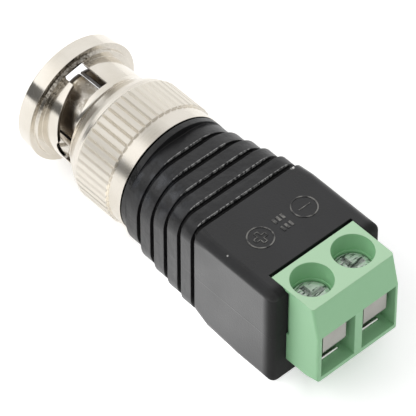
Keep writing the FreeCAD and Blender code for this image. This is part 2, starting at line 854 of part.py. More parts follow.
def make_terminal_block():
    body = new_body("terminal_block")
    base = size("housing_floor")
    top = size("housing_height")
    outline = sketch_on(body, "block_outline", "XZ_Plane")
    draw_polygon(outline, [
        (block_back, base),
        (block_front - size("block_toe_run"), base),
        (block_front, base + size("block_toe_rise")),
        (block_front, chamber_roof),
        (block_front - size("block_slant_run"), top),
        (block_back, top),
    ])
    block = extrude(body, "Pad", "block", outline, size("block_width"), centred=True)

    side = size("block_width") / 2

    def outer_low_or_front(box):
        at_side = near(abs(box.YMin), side) and near(box.YLength, as_size(0))
        low = box.ZMax < (base + size("block_toe_rise")).number + SAME_PLACE
        in_front = box.XMin > (block_front - size("block_slant_run")).number - SAME_PLACE
        return at_side and (low or in_front)

    rounds = edges_where(block, outer_low_or_front)
    round_edges(body, "block_rounds", block, rounds, size("block_edge_round"))

    for name, width, depth in (
        ("windows", "window_width", size("window_depth")),
        ("chambers", "chamber_width", block_front - chamber_back),
    ):
        openings = sketch_on(body, f"{name}_outlines", "YZ_Plane", block_front)
        for pole in (-1, 1):
            centre = size("pole_pitch") / 2 * pole
            left = centre - size(width) / 2
            right = centre + size(width) / 2
            draw_rectangle(openings, (left, chamber_floor), (right, chamber_roof))
        extrude(body, "Pocket", name, openings, depth)

    for name, radius, depth in (
        ("throats", size("throat_radius"), top - chamber_roof + size("slip_gap")),
        ("wells", size("well_radius"), size("well_depth")),
    ):
        circles = sketch_on(body, f"{name}_circles", "XY_Plane", top)
        for pole in (-1, 1):
            draw_circle(circles, screw_place, size("pole_pitch") / 2 * pole, radius)
        extrude(body, "Pocket", name, circles, depth)

    tails = sketch_on(body, "tail_slot_outlines", "YZ_Plane", block_back)
    for pole in (-1, 1):
        centre = size("pole_pitch") / 2 * pole
        reach = size("tail_width") / 2 + size("slip_gap")
        slot_top = strip_top + size("slip_gap")
        draw_rectangle(tails, (centre - reach, chamber_floor), (centre + reach, slot_top))
    tail_depth = size("block_back_wall") + size("slip_gap")
    extrude(body, "Pocket", "tail_slots", tails, tail_depth, backwards=True)

    plate_under = top - size("block_plate_thickness")
    wide = size("block_width") / 2
    deep = wide - size("block_neck_depth")
    flat_end = housing_end + size("side_recess_reach")
    for name, ramp, depth in (
        ("neck_sides", as_size(0), plate_under - base),
        ("side_recesses", size("side_recess_ramp"), size("side_recess_height")),
    ):
        sides = sketch_on(body, f"{name}_outlines", "XY_Plane", plate_under)
        for pole in (-1, 1):
            draw_polygon(sides, [
                (block_back - OVERRUN, (wide + OVERRUN) * pole),
                (block_back - OVERRUN, deep * pole),
                (flat_end, deep * pole),
                (flat_end + ramp, wide * pole),
                (flat_end + ramp, (wide + OVERRUN) * pole),
            ])
        extrude(body, "Pocket", name, sides, depth)
    keep("terminal_block", body)


def make_screw(side, y):
    name = f"{side}_terminal_screw"
    body = new_body(name)
    guard_top = guard_under() + size("guard_thickness")
    tip = guard_top + size("press_gap")
    turn(body, f"{name}_turning", [
        (0, tip),
        (size("shank_radius"), tip),
        (size("shank_radius"), head_under),
        (size("head_radius"), head_under),
        (size("head_radius"), head_top - size("head_dome")),
        (size("head_radius") * size("head_flat_share"), head_top),
        (0, head_top),
    ], "V_Axis")
    cross = sketch_on(body, f"{name}_cross_outline", "XY_Plane", head_top)
    reach = size("cross_length") / 2
    arm = size("cross_width") / 2
    draw_polygon(cross, [
        (-reach, -arm), (-arm, -arm), (-arm, -reach), (arm, -reach),
        (arm, -arm), (reach, -arm), (reach, arm), (arm, arm),
        (arm, reach), (-arm, reach), (-arm, arm), (-reach, arm),
    ])
    extrude(body, "Pocket", f"{name}_cross", cross, size("cross_depth"))
    place(body, x=screw_place, y=y)
    keep(name, body)


def guard_under():
    """The height of the wire guard's lower face at rest."""
    return clamp_under - size("guard_drop") - size("guard_thickness")


def make_guard(side, y):
    name = f"{side}_wire_guard"
    body = new_body(name)
    thickness = size("guard_thickness")
    face = block_front - size("guard_setback")
    back = chamber_back + size("clamp_leg_thickness") + size("guard_leg_gap") * 2
    under = guard_under()
    outline = sketch_on(body, f"{name}_outline", "XZ_Plane")
    draw_polygon(outline, [
        (back, under),
        (face, under),
        (face, under + size("guard_lip_height")),
        (face - thickness, under + size("guard_lip_height")),
        (face - thickness, under + thickness),
        (back, under + thickness),
    ])
    bent = extrude(body, "Pad", f"{name}_sheet", outline, size("guard_width"), centred=True)
    outer = edges_where(bent, lambda b: near(b.XMin, face) and near(b.ZMax, under))
    bent = round_edges(body, f"{name}_bend", bent, outer, size("guard_bend"))
    inner_x = face - thickness
    inner = edges_where(bent, lambda b: near(b.XMin, inner_x) and near(b.ZMax, under + thickness))
    round_edges(body, f"{name}_inner_bend", bent, inner, size("guard_bend") - thickness)
    place(body, y=y)
    keep(name, body)


def make_clamp_nut(side, y):
    name = f"{side}_clamp_nut"
    body = new_body(name)
    back = chamber_back + size("guard_leg_gap")
    leg_front = back + size("clamp_leg_thickness")
    plate = sketch_on(body, f"{name}_plate_outline", "XY_Plane", clamp_under)
    wide = size("clamp_width") / 2
    draw_rectangle(plate, (back, -wide), (screw_place + size("clamp_reach"), wide))
    extrude(body, "Pad", f"{name}_plate", plate, size("clamp_thickness"))
    leg = sketch_on(body, f"{name}_leg_outline", "XY_Plane", strip_top)
    narrow = size("clamp_leg_width") / 2
    draw_rectangle(leg, (back, -narrow), (leg_front, narrow))
    extrude(body, "Pad", f"{name}_leg", leg, clamp_under - strip_top)
    hole = sketch_on(body, f"{name}_hole_circle", "XY_Plane", clamp_top)
    draw_circle(hole, screw_place, 0, size("shank_radius") + size("slip_gap"))
    extrude(body, "Pocket", f"{name}_hole", hole, size("clamp_thickness"))
    place(body, y=y)
    keep(name, body)


def make_solder_pin(side, y):
    name = f"{side}_solder_pin"
    body = new_body(name)
    back = chamber_back + size("guard_leg_gap")
    front = block_front - size("strip_setback")
    wide = size("strip_width") / 2
    narrow = size("tail_width") / 2
    outline = sketch_on(body, f"{name}_outline", "XY_Plane", chamber_floor)
    tail = block_back - size("tail_length")
    draw_polygon(outline, [
        (tail, -narrow), (back, -narrow), (back, -wide), (front, -wide),
        (front, wide), (back, wide), (back, narrow), (tail, narrow),
    ])
    strip = extrude(body, "Pad", f"{name}_strip", outline, size("strip_thickness"))
    ends = edges_where(strip, lambda b: near(b.XMin, front) and b.YLength > narrow.number)
    round_edges(body, f"{name}_strip_end", strip, ends, size("strip_end_round"))
    place(body, y=y)
    keep(name, body)


def make_lead(name, points):
    """A round wire: straight runs joined by tangent arcs, swept with its section."""
    radius = number_of("wire_radius")
    edges = []
    start = points[0]
    for before, corner, after in zip(points, points[1:], points[2:]):
        inward = (before - corner).normalize()
        outward = (after - corner).normalize()
        turn_angle = math.pi - inward.getAngle(outward)
        trim = number_of("wire_bend") * math.tan(turn_angle / 2)
        first = corner + inward * trim
        last = corner + outward * trim
        bisector = (inward + outward).normalize()
        centre = corner + bisector * (number_of("wire_bend") / math.cos(turn_angle / 2))
        middle = centre - bisector * number_of("wire_bend")
        edges.append(Part.LineSegment(start, first).toShape())
        edges.append(Part.Arc(first, middle, last).toShape())
        start = last
    edges.append(Part.LineSegment(start, points[-1]).toShape())
    path = Part.Wire(edges)
    heading = points[1] - points[0]
    section = Part.Wire(Part.makeCircle(radius, points[0], heading))
    lead = doc.addObject("Part::Feature", name)
    lead.Shape = path.makePipeShell([section], True, True)
    keep(name, lead)


def make_leads():
    radius = number_of("wire_radius")
    gap = number_of("press_gap")
    pole = number_of("pole_pitch") / 2
    landing = strip_top.number + radius + gap
    lead_end = block_back.number - number_of("landing_gap")
    landing_start = block_back.number - number_of("tail_length") - number_of("landing_length")
    cup_end = insulator_rear.number + number_of("cup_length")
    wire_start = cup_end - number_of("cup_bore_depth") + gap
    make_lead("signal_lead", [
        Vector(wire_start, 0, axis_height.number),
        Vector(cup_end + number_of("signal_lead_run"), 0, axis_height.number),
        Vector(landing_start, -pole, landing),
        Vector(lead_end, -pole, landing),
    ])
    tab_under = axis_height.number - number_of("body_neck_radius") + number_of("body_tab_rise")
    tab_height = tab_under + number_of("body_tab_thickness") + radius + gap
    tab_end = body_rear.number + number_of("body_tab_length")
    make_lead("ground_lead", [
        Vector(body_rear.number + number_of("ground_lead_start"), 0, tab_height),
        Vector(tab_end + number_of("ground_lead_run"), 0, tab_height),
        Vector(landing_start, pole, landing),
        Vector(lead_end, pole, landing),
    ])


make_housing()
make_nut()
make_plug_body()
make_outer_contact()
make_retaining_ring()
make_spring_stack()
make_insulators()
make_centre_pin()
make_terminal_block()
for side, sign in (("left", -1), ("right", 1)):
    y = size("pole_pitch") / 2 * sign
    make_screw(side, y)
    make_guard(side, y)
    make_clamp_nut(side, y)
    make_solder_pin(side, y)
make_leads()

doc.recompute()
for feature in doc.Objects:
    if "Invalid" in feature.State or "Error" in feature.State:
        raise RuntimeError(f"{feature.Label} failed: {feature.State}")
for name, piece in pieces.items():
    if piece.Shape.isNull() or not piece.Shape.isValid():
        raise RuntimeError(f"{name} has no valid shape")

os.makedirs("parts", exist_ok=True)
for name, piece in pieces.items():
    piece.Shape.exportStep(f"parts/{name}.step")
    box = piece.Shape.BoundBox
    print(f"{name}: {len(piece.Shape.Solids)} solid, {piece.Shape.Volume:.2f} mm3, "
          f"X {box.XMin:.2f} to {box.XMax:.2f}, Y {box.YMin:.2f} to {box.YMax:.2f}, "
          f"Z {box.ZMin:.2f} to {box.ZMax:.2f}")
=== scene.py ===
"""Looks of the video plug adapter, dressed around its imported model."""

import math

import bmesh
import bpy
from mathutils import Matrix, Vector


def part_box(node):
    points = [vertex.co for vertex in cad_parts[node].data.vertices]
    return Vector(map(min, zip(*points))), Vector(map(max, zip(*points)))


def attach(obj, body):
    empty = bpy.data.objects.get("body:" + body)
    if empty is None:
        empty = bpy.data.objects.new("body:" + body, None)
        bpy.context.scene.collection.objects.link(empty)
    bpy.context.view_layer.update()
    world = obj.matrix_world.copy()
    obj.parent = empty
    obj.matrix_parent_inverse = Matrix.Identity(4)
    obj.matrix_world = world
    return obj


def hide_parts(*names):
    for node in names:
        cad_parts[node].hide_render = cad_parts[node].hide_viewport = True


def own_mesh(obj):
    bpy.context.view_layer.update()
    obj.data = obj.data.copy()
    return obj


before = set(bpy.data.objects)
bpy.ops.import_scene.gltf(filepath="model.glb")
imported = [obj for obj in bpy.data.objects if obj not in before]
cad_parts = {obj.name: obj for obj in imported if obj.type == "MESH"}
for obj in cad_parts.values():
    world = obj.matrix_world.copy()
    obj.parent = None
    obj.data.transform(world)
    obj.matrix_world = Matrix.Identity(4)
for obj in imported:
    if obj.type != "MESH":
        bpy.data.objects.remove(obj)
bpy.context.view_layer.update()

MM = 0.001

# Camera: the photograph's view
CAMERA_TARGET = Vector((-0.322, 0.002, 6.21)) * MM
CAMERA_AZIMUTH = 47.716
CAMERA_ELEVATION = 48.304
CAMERA_ROLL = -0.078
CAMERA_DISTANCE = 387.36 * MM
CAMERA_LENS = 359.65
SENSOR_WIDTH = 36.0
VIEW_END = 10.0

# Housing: where its rim ends, up to which it is painted in shade, its grooves, whose valleys are
# painted in shade, the painted highlight along each groove's lip, the mould's parting line and two
# painted glints on its upper edges
RIM_WIDTH = 0.60 * MM
GROOVE_START = -3.125 * MM
GROOVE_WIDTH = 0.60 * MM
RIB_PITCH = 1.93 * MM
GROOVES = 5
VALLEY_WIDTH = 0.38 * MM
LIP_WIDTH = 0.08 * MM
LIP_HEIGHT = 0.26 * MM
PARTING_HEIGHT = 6.40 * MM
PARTING_HALF = 0.04 * MM
PAINTED_GLINTS = (
    ((9.10 * MM, -6.20 * MM, 12.28 * MM), 0.14 * MM),
    ((5.20 * MM, 5.42 * MM, 12.25 * MM), 0.30 * MM),
)

# Housing's shoulder, where the grooves' painted shade is left out and patches of painted highlight lie:
# its stretch of height over the plug's axis plus Y, and where it fades out along Y and X
SHOULDER = (-3.20 * MM, 2.40 * MM)
SHOULDER_SOFT = 1.00 * MM
SHOULDER_FADE_Y = (-1.50 * MM, -0.50 * MM)
SHOULDER_FADE_X = (0.50 * MM, 3.50 * MM)

# Housing: how far before its end the end face's matt finish and painted shade come in, the dull upper
# edge of its near side, from that side and below the top, where ripples fade out along X, over which
# length before the last groove's end dents do, and how much the ribbed part is dulled
END_FACE_FADE = (1.40 * MM, 0.60 * MM)
LONG_EDGE_FADE = (0.55 * MM, 0.85 * MM)
LONG_EDGE_DEPTHS = (0.75 * MM, 0.02 * MM)
RIPPLES_FADE = (3.00 * MM, 5.50 * MM)
DENTS_FADE = 1.50 * MM
RIBS_DULL = 0.70

# Bayonet nut: the lengths of its ring and its knurl, from the rear, how far behind the knurl
# the ring's finish starts, the radius inside which the nut is dull and painted in shade, and the
# heights over its axis between which that comes in
NUT_RING_LENGTH = 1.75 * MM
RING_FINISH_START = 0.05 * MM
KNURL_LENGTH = 4.35 * MM
NUT_INSIDE = 5.25 * MM
INSIDE_FADE = (-1.20 * MM, 0.60 * MM)

# Bayonet nut, from its open end: the rear face of its flange and the rear of the collar behind it,
# which are painted in brown shade, how far that shade goes past them, and the heights over the axis and
# the places along Y between which it comes in and fades
FLANGE_REAR = 1.88 * MM
COLLAR_REAR = 2.20 * MM
COLLAR_FRONT_OVERLAP = 0.01 * MM
COLLAR_REAR_OVERLAP = 0.02 * MM
COLLAR_FADE_Z = (1.00 * MM, 3.20 * MM)
COLLAR_FADE_Y = (0.50 * MM, 2.50 * MM)

# The nut's neck, its bore and the flare that rises from the neck to the knurl, whose rear
# part is satin
NECK_RADIUS = 5.32 * MM
NUT_BORE = 4.96 * MM
FLARE_FRONT = 5.65 * MM
FLARE_LENGTH = 2.80 * MM
FLARE_RISE = 1.21 * MM
FLARE_STEPS = 6
FLARE_SATIN = 1.90 * MM

# Cam slots: where the lug's way in ends and the ramp starts and ends, in degrees from -Y
# towards +Z, then, from the nut's open end, the front edge before the ramp, how far the ramp
# goes back, the width that the slot keeps and the rear edge in the solid
SLOT_ENTRY_END = 91.5
SLOT_RAMP_START = 66.5
SLOT_RAMP_END = -5.0
SLOT_FRONT = 3.20 * MM
SLOT_RISE = 1.40 * MM
SLOT_WIDTH = 2.30 * MM
SLOT_REAR = 6.25 * MM

# The strip along each slot's rear edge: how far it stands over the nut's surface and reaches
# into the nut at its rear, how many degrees it goes past the lug's way in and stops short of
# where it would run out, its steps and where the points across it lie
SKIN = 0.008 * MM
SLOT_OVERLAP = 0.12 * MM
SLOT_END_OVERLAP = 0.8
SLOT_STEPS = 30
SLOT_SHARES = (0.0, 0.25, 0.5, 0.75, 1.0)

# The rounded tips of the outer contact's fingers: how far each point is in front of the
# solid and how far from the axis, both in millimetres, and how far in front of the solid the tips are
# painted in shade.
# Each split between two fingers is painted in shade over a little more than its gap
CONTACT_BORE = 3.50 * MM
CONTACT_TIP = ((0.00, 4.05), (0.50, 4.04), (0.80, 3.96), (1.02, 3.80), (1.10, 3.60))
CONTACT_TIP_SHADE = 0.42 * MM
CONTACT_FINGER_GAP = 0.40 * MM
SPLIT_SHADE_HALF = 0.24 * MM
CONTACT_FINGERS = 4
FINGER_STEPS = 20

# Outer contact: the heights over its axis between which it turns dull and takes mottled painted shade
# and painted highlights
CONTACT_UPPER_FADE = (2.40 * MM, 3.20 * MM)

# Screw heads: the depths below their top between which the cross recess is painted in shade, and
# by how much
RECESS_TOP = 0.28 * MM
RECESS_BOTTOM = 0.48 * MM
RECESS_SHADE = 0.30

# Marks on the housing's top
MARK_HEIGHT = 0.05 * MM
MARK_SINK = 0.03 * MM
CIRCLE_RADIUS = 1.33 * MM
CIRCLE_WIDTH = 0.13 * MM
SIGN_LENGTH = 1.40 * MM
SIGN_WIDTH = 0.40 * MM
SIGN_LINE = 0.09 * MM
CIRCLE_PLACES = {"plus": (9.57 * MM, -2.55 * MM), "minus": (9.50 * MM, 2.95 * MM)}
DASH_ROWS = (9.00 * MM, 10.15 * MM)
DASH_START = -0.30 * MM
DASH_PITCH = 0.50 * MM
DASH_SIZE = (0.62 * MM, 0.26 * MM)
DASHES_IN_A_ROW = 3
CIRCLE_STEPS = 48

# The strips and the tips are shaded smooth where their faces meet at less than this, in degrees
SMOOTH_ANGLE = 35

GROOVES_END = GROOVE_START + (GROOVES - 1) * RIB_PITCH + GROOVE_WIDTH
housing_low, housing_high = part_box("plug_housing")
_, block_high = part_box("terminal_block")
nut_low, nut_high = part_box("bayonet_nut")
contact_low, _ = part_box("outer_contact")
_, screw_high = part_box("left_terminal_screw")
# The housing's flat top is level with the terminal block's
HOUSING_TOP = block_high.z
MARKS_LOW = HOUSING_TOP - MARK_SINK
MARKS_HIGH = HOUSING_TOP + MARK_HEIGHT
AXIS_HEIGHT = (nut_low.z + nut_high.z) / 2


# Shader helpers

# The values that most of a noise lies between
NOISE_MIDDLE = (0.3, 0.7)

# How a noise is squeezed along X, Y and Z: into tool marks around the plug's axis, into marks
# along it, or not at all
TURNED = (40, 1, 1)
ALONG = (1, 40, 40)
EVEN = (1, 1, 1)


class Nodes:
    """A node tree with a few short ways to extend it."""

    def __init__(self, tree):
        self.tree = tree

    def add(self, kind, **settings):
        node = self.tree.nodes.new(kind)
        for name, value in settings.items():
            setattr(node, name, value)
        return node

    def link(self, source, target):
        self.tree.links.new(source, target)

    def ramp(self, value, low, high, low_result=0.0, high_result=1.0):
        """Maps one stretch of a value onto another, clamped."""
        node = self.add("ShaderNodeMapRange")
        node.inputs["From Min"].default_value = low
        node.inputs["From Max"].default_value = high
        node.inputs["To Min"].default_value = low_result
        node.inputs["To Max"].default_value = high_result
        self.link(value, node.inputs["Value"])
        return node.outputs["Result"]


class Shader(Nodes):
    """A material's node tree, around its surface shader."""

    def __init__(self, name):
        self.material = bpy.data.materials.new(name)
        self.material.use_nodes = True
        super().__init__(self.material.node_tree)
        self.surface = self.tree.nodes["Principled BSDF"]
        self.coordinates = self.add("ShaderNodeTexCoord").outputs["Object"]

    def plain(self, **values):
        """Constant values, set on the shader's own sockets."""
        for name, value in values.items():
            self.surface.inputs[name.replace("_", " ")].default_value = value

    def noise(self, scale, detail, squeeze=EVEN):
        """Noise with features of about 1 / scale metres, squeezed along each axis."""
        mapping = self.add("ShaderNodeMapping")
        mapping.inputs["Scale"].default_value = squeeze
        self.link(self.coordinates, mapping.inputs["Vector"])
        texture = self.add("ShaderNodeTexNoise")
        texture.inputs["Scale"].default_value = scale
        texture.inputs["Detail"].default_value = detail
        self.link(mapping.outputs["Vector"], texture.inputs["Vector"])
        return texture.outputs["Fac"]

    def spots(self, scale, detail, low, high, squeeze=EVEN):
        """0 where a noise is below the low value and 1 where it is above the high one."""
        return self.ramp(self.noise(scale, detail, squeeze), low, high)

    def fall(self, value, low, high, last=0.0):
        """1 below a stretch of a value, and a last result past it."""
        return self.ramp(value, low, high, 1.0, last)

    def above(self, value, limit, soft):
        """0 below a limit and 1 above it, with a soft change."""
        return self.ramp(value, limit - soft, limit + soft)

    def below(self, value, limit, soft):
        """1 below a limit and 0 above it, with a soft change."""
        return self.fall(value, limit - soft, limit + soft)

    def math(self, operation, first, second=0.0):
        """One operation on two values, each a number or another node's output."""
        node = self.add("ShaderNodeMath", operation=operation)
        for socket, value in zip(node.inputs, (first, second)):
            if isinstance(value, bpy.types.NodeSocket):
                self.link(value, socket)
            else:
                socket.default_value = value
        return node.outputs["Value"]

    def product(self, value, *others):
        """Several values multiplied together."""
        for other in others:
            value = self.math("MULTIPLY", value, other)
        return value

    def places(self):
        """The surface point's X, Y and Z in metres."""
        parts = self.add("ShaderNodeSeparateXYZ")
        self.link(self.coordinates, parts.inputs["Vector"])
        return parts.outputs["X"], parts.outputs["Y"], parts.outputs["Z"]

    def distance(self, point):
        """How far the surface point is from another point."""
        node = self.add("ShaderNodeVectorMath", operation="DISTANCE")
        self.link(self.coordinates, node.inputs[0])
        node.inputs[1].default_value = point
        return node.outputs["Value"]

    def axis_radius(self, height):
        """How far the surface point is from a line along X at that height."""
        _, y, z = self.places()
        over = self.math("SUBTRACT", z, height)
        squares = self.math("ADD", self.product(y, y), self.product(over, over))
        return self.math("SQRT", squares)

    def between(self, value, low, high, soft):
        """1 where a value lies between two limits and 0 outside, with soft ends."""
        return self.product(self.above(value, low, soft), self.below(value, high, soft))

    def cover(self, kind, socket, mask, value):
        """Takes one of the shader's sockets to another value where the mask is 1."""
        mix = self.add("ShaderNodeMix", data_type=kind)
        self.link(mask, mix.inputs["Factor"])
        self.link(socket.links[0].from_socket, mix.inputs["A"])
        mix.inputs["B"].default_value = value
        self.link(mix.outputs["Result"], socket)

    def tint(self, mask, colour):
        """Takes the base colour to another one where the mask is 1."""
        self.cover("RGBA", self.surface.inputs["Base Color"], mask, (*colour, 1))

    def dull(self, mask, roughness):
        """Takes the roughness to another value where the mask is 1."""
        self.cover("FLOAT", self.surface.inputs["Roughness"], mask, roughness)

    def colour(self, value, first, second):
        """Base colour between two colours, by a value from 0 to 1."""
        mix = self.add("ShaderNodeMix", data_type="RGBA")
        self.link(value, mix.inputs["Factor"])
        mix.inputs["A"].default_value = (*first, 1)
        mix.inputs["B"].default_value = (*second, 1)
        self.link(mix.outputs["Result"], self.surface.inputs["Base Color"])

    def roughness(self, noise, middle, spread):
        """Roughness that a noise takes down and up from a middle value."""
        low, high = [middle + part for part in spread]
        self.link(self.ramp(noise, *NOISE_MIDDLE, low, high), self.surface.inputs["Roughness"])

    def relief(self, heights, depth, edge):
        """Bump from several heights of 0 to 1, over a rounded edge of that radius."""
        normal = None
        if edge:
            bevel = self.add("ShaderNodeBevel", samples=8)
            bevel.inputs["Radius"].default_value = edge
            normal = bevel.outputs["Normal"]
        for height, share in heights:
            bump = self.add("ShaderNodeBump")
            bump.inputs["Distance"].default_value = depth * share
            self.link(height, bump.inputs["Height"])
            if normal:
                self.link(normal, bump.inputs["Normal"])
            normal = bump.outputs["Normal"]
        self.link(normal, self.surface.inputs["Normal"])


# Materials

# Scales of the noises, whose features are about one metre over the scale
TOOL_MARK_SCALE = 160.0
FLOW_SCALE = 220.0
CLOUD_SCALE = 260.0
DENT_SCALE = 620.0
PATCH_SCALE = 900.0
HIGHLIGHT_PATCH_SCALE = 1100.0
RIPPLE_SCALE = 1500.0
MOTTLE_SCALE = 1500.0
WAX_SCALE = 3000.0
SPECK_SCALE = 3600.0
SATIN_SCALE = 4200.0
STREAK_SCALE = 4200.0
GRAIN_SCALE = 5200.0

# Depths of the relief
GRAIN_DEPTH = 0.012 * MM
TOOL_MARK_DEPTH = 0.004 * MM
CAST_DEPTH = 0.10 * MM
STREAK_DEPTH = 0.24 * MM

# How far roughness goes down and up from its middle value
MOULDED_SPREAD = (-0.05, 0.08)
METAL_SPREAD = (-0.04, 0.08)


def moulded(name, colour, worn, roughness, grain=None, edge=0.0, wear=(FLOW_SCALE, 0.35, 0.75)):
    """Injection-moulded plastic with flow marks, rubbed spots and, if given, a fine grain.

    Wear gives the rubbed spots' noise and the values between which they come in.
    """
    shader = Shader(name)
    flow = shader.noise(FLOW_SCALE, detail=3.0)
    scale, low, high = wear
    shader.colour(shader.spots(scale, 3.0, low, high), colour, worn)
    shader.roughness(flow, roughness, MOULDED_SPREAD)
    if grain:
        fine = shader.noise(grain, detail=6.0)
        shader.relief([(fine, 1.0), (flow, 1.5)], GRAIN_DEPTH, edge)
    return shader


def metal(name, colour, tarnish, roughness, squeeze=EVEN, edge=0.0, depth=TOOL_MARK_DEPTH):
    """Plated metal with tool marks, which follow the squeeze, and thin tarnish."""
    shader = Shader(name)
    marks = shader.noise(TOOL_MARK_SCALE, 8.0, squeeze)
    cloud = shader.noise(CLOUD_SCALE, detail=4.0)
    shader.colour(shader.ramp(cloud, low=0.45, high=0.75), colour, tarnish)
    shader.roughness(cloud, roughness, METAL_SPREAD)
    shader.plain(Metallic=1.0)
    shader.relief([(marks, 1.0), (cloud, 2.0)], depth, edge)
    return shader


BLACK = (0.008, 0.008, 0.0088)
BLACK_WORN = (0.014, 0.0142, 0.0155)
SHOULDER_HIGHLIGHT_BLACK = (0.030, 0.032, 0.037)
GROOVE_SHADE_BLACK = (0.002, 0.002, 0.002)
RIM_SHADE_BLACK = (0.003, 0.003, 0.003)
END_SHADE_BLACK = (0.004, 0.004, 0.004)
LIP_HIGHLIGHT_GREY = (0.33, 0.33, 0.325)
GLINT_WHITE = (0.75, 0.74, 0.72)


def groove_masks(shader):
    """Where the grooves' valleys are painted in shade, where their lips get a painted highlight, and
    the housing's shoulder.
    """
    x, y, z = shader.places()
    past = shader.math("SUBTRACT", x, GROOVE_START - GROOVE_WIDTH)
    phase = shader.math("FLOORED_MODULO", past, RIB_PITCH)
    ribbed = shader.between(x, GROOVE_START - GROOVE_WIDTH, GROOVES_END, soft=0.01 * MM)
    groove_end = GROOVE_WIDTH + VALLEY_WIDTH
    in_groove = shader.between(phase, GROOVE_WIDTH, groove_end, soft=0.04 * MM)
    lip_start = GROOVE_WIDTH - LIP_WIDTH
    at_lip = shader.between(phase, lip_start, GROOVE_WIDTH + LIP_WIDTH, soft=0.02 * MM)
    high = shader.above(z, HOUSING_TOP - LIP_HEIGHT, soft=0.03 * MM)
    slant = shader.math("ADD", shader.math("SUBTRACT", z, AXIS_HEIGHT), y)
    shoulder = shader.product(
        shader.between(slant, *SHOULDER, SHOULDER_SOFT),
        shader.fall(y, *SHOULDER_FADE_Y),
        shader.fall(x, *SHOULDER_FADE_X),
    )
    valley_shade = shader.product(ribbed, in_groove, shader.math("SUBTRACT", 1.0, shoulder))
    return valley_shade, shader.product(ribbed, at_lip, high), shoulder


def housing_relief(shader):
    """The housing's bump: its grain, ripples past the shoulder, dents before the last groove."""
    x, _, z = shader.places()
    parting_limits = (PARTING_HEIGHT - PARTING_HALF, PARTING_HEIGHT + PARTING_HALF)
    parting = shader.between(z, *parting_limits, soft=0.03 * MM)
    fine = shader.noise(GRAIN_SCALE, detail=6.0)
    ripples = shader.product(
        shader.noise(RIPPLE_SCALE, detail=3.0, squeeze=(1, 1, 0.5)),
        shader.fall(x, *RIPPLES_FADE, last=0.12),
    )
    dents = shader.product(
        shader.noise(DENT_SCALE, detail=4.0, squeeze=(1, 1, 0.45)),
        shader.fall(x, GROOVES_END - DENTS_FADE, GROOVES_END),
    )
    heights = [(fine, 1.0), (ripples, 2.2), (dents, 13.0), (parting, 0.8)]
    shader.relief(heights, GRAIN_DEPTH, edge=0.10 * MM)


def make_housing_black():
    """Black moulding: painted shade in the grooves, at the rim and on the matt end face, painted
    highlights speckled on the grooves' lips and in patches on the shoulder, painted glints and a
    parting line.
    """
    shader = moulded("housing_black", BLACK, BLACK_WORN, roughness=0.30)
    x, y, z = shader.places()
    valley_shade, lip, shoulder = groove_masks(shader)
    patches = shader.spots(PATCH_SCALE, detail=4.0, low=0.45, high=0.60, squeeze=(1, 1, 0.5))
    # Painted highlight: pale patches on the shoulder
    shoulder_highlight = shader.product(shoulder, patches)
    shader.tint(shoulder_highlight, SHOULDER_HIGHLIGHT_BLACK)
    # Painted shade: the grooves' valleys are darkened
    shader.tint(valley_shade, GROOVE_SHADE_BLACK)
    shader.dull(valley_shade, roughness=0.75)
    speckle = shader.noise(SPECK_SCALE, detail=4.0, squeeze=(0.4, 1, 0.4))
    specks = shader.ramp(speckle, low=0.42, high=0.58, low_result=0.08)
    # Painted highlight: pale specks along the top of each groove's lip
    shader.tint(shader.product(lip, specks), LIP_HIGHLIGHT_GREY)
    # Painted shade: the rim beside the nut is darker
    shader.tint(shader.below(x, housing_low.x + RIM_WIDTH, soft=0.05 * MM), RIM_SHADE_BLACK)
    ribs = shader.below(x, GROOVES_END, soft=0.2 * MM)
    shader.dull(shader.product(ribs, RIBS_DULL), roughness=0.42)
    shader.dull(shoulder_highlight, roughness=0.26)
    # Painted shade on the end face, which faces away from the light, together with its matt finish
    end_face = shader.ramp(x, *[housing_high.x - before for before in END_FACE_FADE])
    shader.tint(end_face, END_SHADE_BLACK)
    shader.dull(end_face, roughness=0.85)
    # Painted glints: small speckled white spots on the upper edges
    for place, radius in PAINTED_GLINTS:
        glint = shader.fall(shader.distance(place), radius / 2, radius)
        shader.tint(shader.product(glint, specks), GLINT_WHITE)
    edge_low, edge_high = [HOUSING_TOP - depth for depth in LONG_EDGE_DEPTHS]
    long_edge = shader.product(
        shader.fall(y, *[housing_low.y + inward for inward in LONG_EDGE_FADE]),
        shader.between(z, edge_low, edge_high, soft=0.05 * MM),
    )
    shader.dull(long_edge, roughness=0.62)
    housing_relief(shader)
    return shader


NICKEL = (0.75, 0.708, 0.637)
NICKEL_TARNISHED = (0.68, 0.634, 0.553)
KNURL_NICKEL = (0.80, 0.755, 0.675)
COLLAR_SHADE_BROWN = (0.10, 0.082, 0.06)
INSIDE_SHADE_BROWN = (0.20, 0.165, 0.13)


